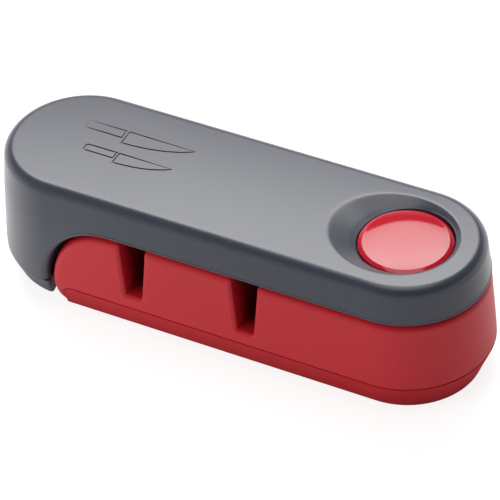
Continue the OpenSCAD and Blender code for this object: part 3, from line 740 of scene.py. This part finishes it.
def material(name, group, groupValues, bump, bevel=0.0, metal=0.0, **sockets):
    # Principled shader fed by a group; bump is strength and distance, and a bevel softens the edges' shading
    made = bpy.data.materials.new(name)
    made.use_nodes = True
    tree = made.node_tree
    shader = tree.nodes["Principled BSDF"]
    effect = tree.nodes.new("ShaderNodeGroup")
    effect.node_tree = group
    for key, value in groupValues.items():
        effect.inputs[key].default_value = value
    tree.links.new(effect.outputs["Colour"], shader.inputs["Base Color"])
    tree.links.new(effect.outputs["Roughness"], shader.inputs["Roughness"])
    raised = tree.nodes.new("ShaderNodeBump")
    raised.inputs["Strength"].default_value = bump[0]
    raised.inputs["Distance"].default_value = bump[1]
    tree.links.new(effect.outputs["Height"], raised.inputs["Height"])
    if bevel:
        soft = tree.nodes.new("ShaderNodeBevel")
        soft.samples = 6
        soft.inputs["Radius"].default_value = bevel
        tree.links.new(soft.outputs[0], raised.inputs["Normal"])
    tree.links.new(raised.outputs[0], shader.inputs["Normal"])
    shader.inputs["Metallic"].default_value = metal
    for key, value in sockets.items():
        shader.inputs[key.replace("_", " ")].default_value = value
    return made


def rgb(r, g, b):
    return (r, g, b, 1)


plastic, metal, ceramic = mouldedPlastic(), workedSteel(), firedGrit()
finishes = {
    "grey_shell": material("satinGrey", plastic, {"Colour": rgb(0.046, 0.050, 0.070), "Roughness": 0.29},
                           (0.12, 0.00004), Specular_IOR_Level=0.62),
    "red_shell": material("satinRed", plastic, {"Colour": rgb(0.565, 0.013, 0.023), "Roughness": 0.45},
                          (0.12, 0.00004), Specular_IOR_Level=0.42),
    "red_cover": material("satinRedCover", plastic, {"Colour": rgb(0.52, 0.010, 0.018), "Roughness": 0.47},
                          (0.12, 0.00004), 0.0004, Specular_IOR_Level=0.17),
    "grey_liner": material("linerGrey", plastic, {"Colour": rgb(0.035, 0.037, 0.041), "Roughness": 0.6},
                           (0.2, 0.00005), 0.0002),
    "button_red": material("polishedRed", plastic, {"Colour": rgb(0.50, 0.008, 0.022), "Roughness": 0.09,
                                                    "Tone Drift": 0.03, "Gloss Drift": 0.02},
                           (0.02, 0.00001), Coat_Weight=0.05, Coat_Roughness=0.03),
    "pad": material("ribbedRubber", plastic, {"Colour": rgb(0.02, 0.02, 0.021), "Roughness": 0.8, "Tone Drift": 0.2},
                    (0.3, 0.0001), 0.0002),
    "frame_black": material("blackNylon", plastic, {"Colour": rgb(0.018, 0.018, 0.02), "Roughness": 0.5},
                            (0.2, 0.00005), 0.0002),
    "nylon": material("naturalNylon", plastic, {"Colour": rgb(0.72, 0.70, 0.64), "Roughness": 0.5},
                      (0.15, 0.00005), 0.0001),
    "steel": material("turnedSteel", metal, {"Colour": rgb(0.56, 0.56, 0.57), "Roughness": 0.3},
                      (0.15, 0.00002), 0.0001, 1.0),
    "spring_steel": material("drawnWire", metal, {"Colour": rgb(0.42, 0.42, 0.44), "Roughness": 0.34},
                             (0.1, 0.00002), 0.0, 1.0),
    "coarse_ceramic": material("coarseCeramic", ceramic, {"Colour": rgb(0.2, 0.21, 0.22), "Grit Size": 3800.0},
                               (0.6, 0.0001), 0.0001),
    "fine_ceramic": material("fineCeramic", ceramic, {"Colour": rgb(0.8, 0.78, 0.72), "Grit Size": 9000.0,
                                                      "Contrast": 0.25}, (0.3, 0.00005), 0.0001),
}

# Painted shade inside the blade slots: the darker colour, and how far in from the sides it takes over
paintedSlotShade = {"colour": (0.19, 0.005, 0.008), "reach": 0.0044, "from": 0.0232, "to": 0.0150,
             "below": 0.0308}  # lengths in metres


def ramped(tree, value, limits, results, kind="SMOOTHSTEP"):
    # A value's place between two limits carried over to between two results, by a smooth or a straight step
    made = node(tree, "ShaderNodeMapRange", interpolation_type=kind)
    for label, number in zip(("From Min", "From Max", "To Min", "To Max"), (*limits, *results)):
        made.inputs[label].default_value = number
    tree.links.new(value, made.inputs["Value"])
    return made.outputs[0]


def spotOf(tree):  # outputs X, Y and Z of the Object coordinates
    made = node(tree, "ShaderNodeSeparateXYZ")
    tree.links.new(node(tree, "ShaderNodeTexCoord").outputs["Object"], made.inputs[0])
    return made.outputs


def paintSlotShade(tree):  # paints shade on the slots' walls, where shade falls inside the closed slots: mixes them with a darker colour, more with distance in from the sides
    v, spot, shader = paintedSlotShade, spotOf(tree), tree.nodes["Principled BSDF"]
    nearSlots = [maths(tree, "COMPARE", spot["X"], c * mm, v["reach"]) for c in slotCentres]
    underDeck = maths(tree, "LESS_THAN", spot["Z"], v["below"])
    inSlot = maths(tree, "MULTIPLY", maths(tree, "MAXIMUM", *nearSlots), underDeck)
    deep = ramped(tree, maths(tree, "ABSOLUTE", spot["Y"]), (v["from"], v["to"]), (0.0, 1.0))
    darker = node(tree, "ShaderNodeMix", data_type="RGBA")
    darker.inputs[7].default_value = rgb(*v["colour"])
    tree.links.new(maths(tree, "MULTIPLY", inSlot, deep), darker.inputs[0])
    tree.links.new(shader.inputs["Base Color"].links[0].from_socket, darker.inputs[6])
    tree.links.new(darker.outputs[2], shader.inputs["Base Color"])


# painted shade on the red housing's slot walls, darker deeper in, in place of the shadow inside the closed slots
paintSlotShade(finishes["red_shell"].node_tree)

slotOf = {part["node"]: part["material_slot"] for part in frame["record"]["subparts"]}
for name, cadNode in nodes.items():
    cadNode.data.materials.clear()
    cadNode.data.materials.append(finishes[slotOf[name]])
for piece, slotName in ((shell, "grey_shell"), (foot, "grey_shell"), (merged, "red_shell"),
                        (button, "button_red"), (spring, "spring_steel")):
    piece.data.materials.clear()
    piece.data.materials.append(finishes[slotName])
    piece.data.polygons.foreach_set("material_index", np.zeros(len(piece.data.polygons), np.int32))
print("materials done:", len(finishes))


# Lights: azimuth and elevation in degrees, distance, width and height in metres, and glow
studio = {"azimuth": 30.27, "elevation": 41.42, "roll": -3.98, "distance": 0.9144, "lens": 234.54,
          "aim": (0, 0, 0.02), "shift": (0.01006, 0.0023), "softbox": (211.2, 51.5, 0.85, 0.72, 0.52, 5.0),
          "softboxRise": (0.6, 1.5), "overhead": (215.0, 86.0, 1.6, 1.0, 1.0, 1.9),
          "leftFill": (-38.0, 24.0, 1.5, 1.0, 0.7, 3.6), "skyTop": 0.1, "skyEdge": 1.3, "skyHeights": (0.02, 0.4),
          "front": (0.2, -0.98, 0), "frontDim": 0.48, "floorSize": 4.0, "floorColour": 0.3, "floorSeen": 0.85,
          "floorGlow": (0.42, 1.15), "glowRun": (-0.07, 0.055), "shadeRun": (0.018, 0.04), "shade": 0.2}


def towardsFrom(azimuth, elevation):
    # Unit vectors from the object towards a direction, and to the right as seen from there
    turn, lift = math.radians(azimuth), math.radians(elevation)
    towards = Vector((math.sin(turn) * math.cos(lift), -math.cos(turn) * math.cos(lift), math.sin(lift)))
    return towards, Vector((math.cos(turn), math.sin(turn), 0))


backwards, rightwards = towardsFrom(studio["azimuth"], studio["elevation"])
upwards = backwards.cross(rightwards)
roll = math.radians(studio["roll"])
camRight = rightwards * math.cos(roll) + upwards * math.sin(roll)
camUp = upwards * math.cos(roll) - rightwards * math.sin(roll)
camera = bpy.data.objects.new("camera", bpy.data.cameras.new("camera"))
scene.collection.objects.link(camera)
turned = Matrix((camRight, camUp, backwards)).transposed().to_4x4()
camera.matrix_world = Matrix.Translation(Vector(studio["aim"]) + backwards * studio["distance"]) @ turned
camera.data.lens = studio["lens"]
camera.data.sensor_width = 36
camera.data.shift_x, camera.data.shift_y = studio["shift"]
camera.data.clip_start, camera.data.clip_end = 0.05, 20
scene.camera = camera

floorMesh = bpy.data.meshes.new("floor")
size = studio["floorSize"]
floorMesh.from_pydata([(-size, -size, 0), (size, -size, 0), (size, size, 0), (-size, size, 0)], [], [(0, 1, 2, 3)])
floor = newObject("floor", floorMesh)
pale = bpy.data.materials.new("paleFloor")
pale.use_nodes = True
paleShader = pale.node_tree.nodes["Principled BSDF"]
paleShader.inputs["Base Color"].default_value = (studio["floorColour"],) * 3 + (1,)
paleShader.inputs["Roughness"].default_value = 0.9
paleShader.inputs["Specular IOR Level"].default_value = 0.0
paleShader.inputs["Emission Color"].default_value = (1, 1, 1, 1)
tree = pale.node_tree
spot = spotOf(tree)
# Glow that stands in for light the floor throws back: brighter behind the object than in front, and dimmed close
# round it by the distance from the middle line as a painted shadow of the object. The camera sees the floor evenly
# white
behind = maths(tree, "MULTIPLY_ADD", spot["X"], -0.5, maths(tree, "MULTIPLY", spot["Y"], 0.86))
pastEnd = maths(tree, "MAXIMUM", maths(tree, "SUBTRACT", maths(tree, "ABSOLUTE", spot["X"]), pivotX * mm), 0.0)
squares = [maths(tree, "MULTIPLY", side, side) for side in (pastEnd, spot["Y"])]
apart = maths(tree, "SQRT", maths(tree, "ADD", *squares))
# painted shadow: the glow falls to the shade share close round the object
glow = maths(tree, "MULTIPLY", ramped(tree, behind, studio["glowRun"], studio["floorGlow"]),
             ramped(tree, apart, studio["shadeRun"], (studio["shade"], 1.0)))
seen = node(tree, "ShaderNodeLightPath").outputs["Is Camera Ray"]
direct = maths(tree, "MULTIPLY", seen, studio["floorSeen"])
strength = maths(tree, "MULTIPLY_ADD", maths(tree, "SUBTRACT", 1.0, seen), glow, direct)
tree.links.new(strength, paleShader.inputs["Emission Strength"])
floorMesh.materials.append(pale)


def areaLight(name, azimuth, elevation, distance, width, height, glow, rise=None):
    # Rectangle of the given glow, facing the object from a direction: its power is glow times area times pi
    towards, side = towardsFrom(azimuth, elevation)
    light = bpy.data.lights.new(name, "AREA")
    light.shape = "RECTANGLE"
    light.size, light.size_y = width, height
    light.energy = glow * width * height * math.pi
    if rise:  # dimmer along the lower edge
        light.use_nodes = True
        tree = light.node_tree
        across = node(tree, "ShaderNodeSeparateXYZ")
        tree.links.new(node(tree, "ShaderNodeNewGeometry").outputs["Parametric"], across.inputs[0])
        fade = ramped(tree, across.outputs["Y"], (0.0, 0.7), rise, "LINEAR")
        tree.links.new(fade, tree.nodes["Emission"].inputs["Strength"])
    made = bpy.data.objects.new(name, light)
    scene.collection.objects.link(made)
    turned = Matrix((side, towards.cross(side), towards)).transposed().to_4x4()
    made.matrix_world = Matrix.Translation(towards * distance) @ turned
    return made


areaLight("softbox", *studio["softbox"], studio["softboxRise"])
areaLight("overhead", *studio["overhead"])
areaLight("leftFill", *studio["leftFill"]).visible_glossy = False  # lifts the shade only, leaves no streak

world = bpy.data.worlds.new("studio")  # bright low down like a sweep, darker overhead
world.use_nodes = True
sky = world.node_tree
facing = node(sky, "ShaderNodeTexCoord")
split = node(sky, "ShaderNodeSeparateXYZ")
sky.links.new(facing.outputs["Generated"], split.inputs[0])
frontness = node(sky, "ShaderNodeVectorMath", operation="DOT_PRODUCT")
sky.links.new(facing.outputs["Generated"], frontness.inputs[0])
frontness.inputs[1].default_value = studio["front"]
dimmed = maths(sky, "MULTIPLY_ADD", frontness.outputs["Value"], -studio["frontDim"], 1.0)
level = ramped(sky, split.outputs["Z"], studio["skyHeights"], (studio["skyEdge"], studio["skyTop"]), "LINEAR")
sky.links.new(maths(sky, "MULTIPLY", level, dimmed), sky.nodes["Background"].inputs["Strength"])
sky.nodes["Background"].inputs[0].default_value = (1, 1, 1, 1)
scene.world = world
scene.view_settings.view_transform = "Standard"
print("studio done")
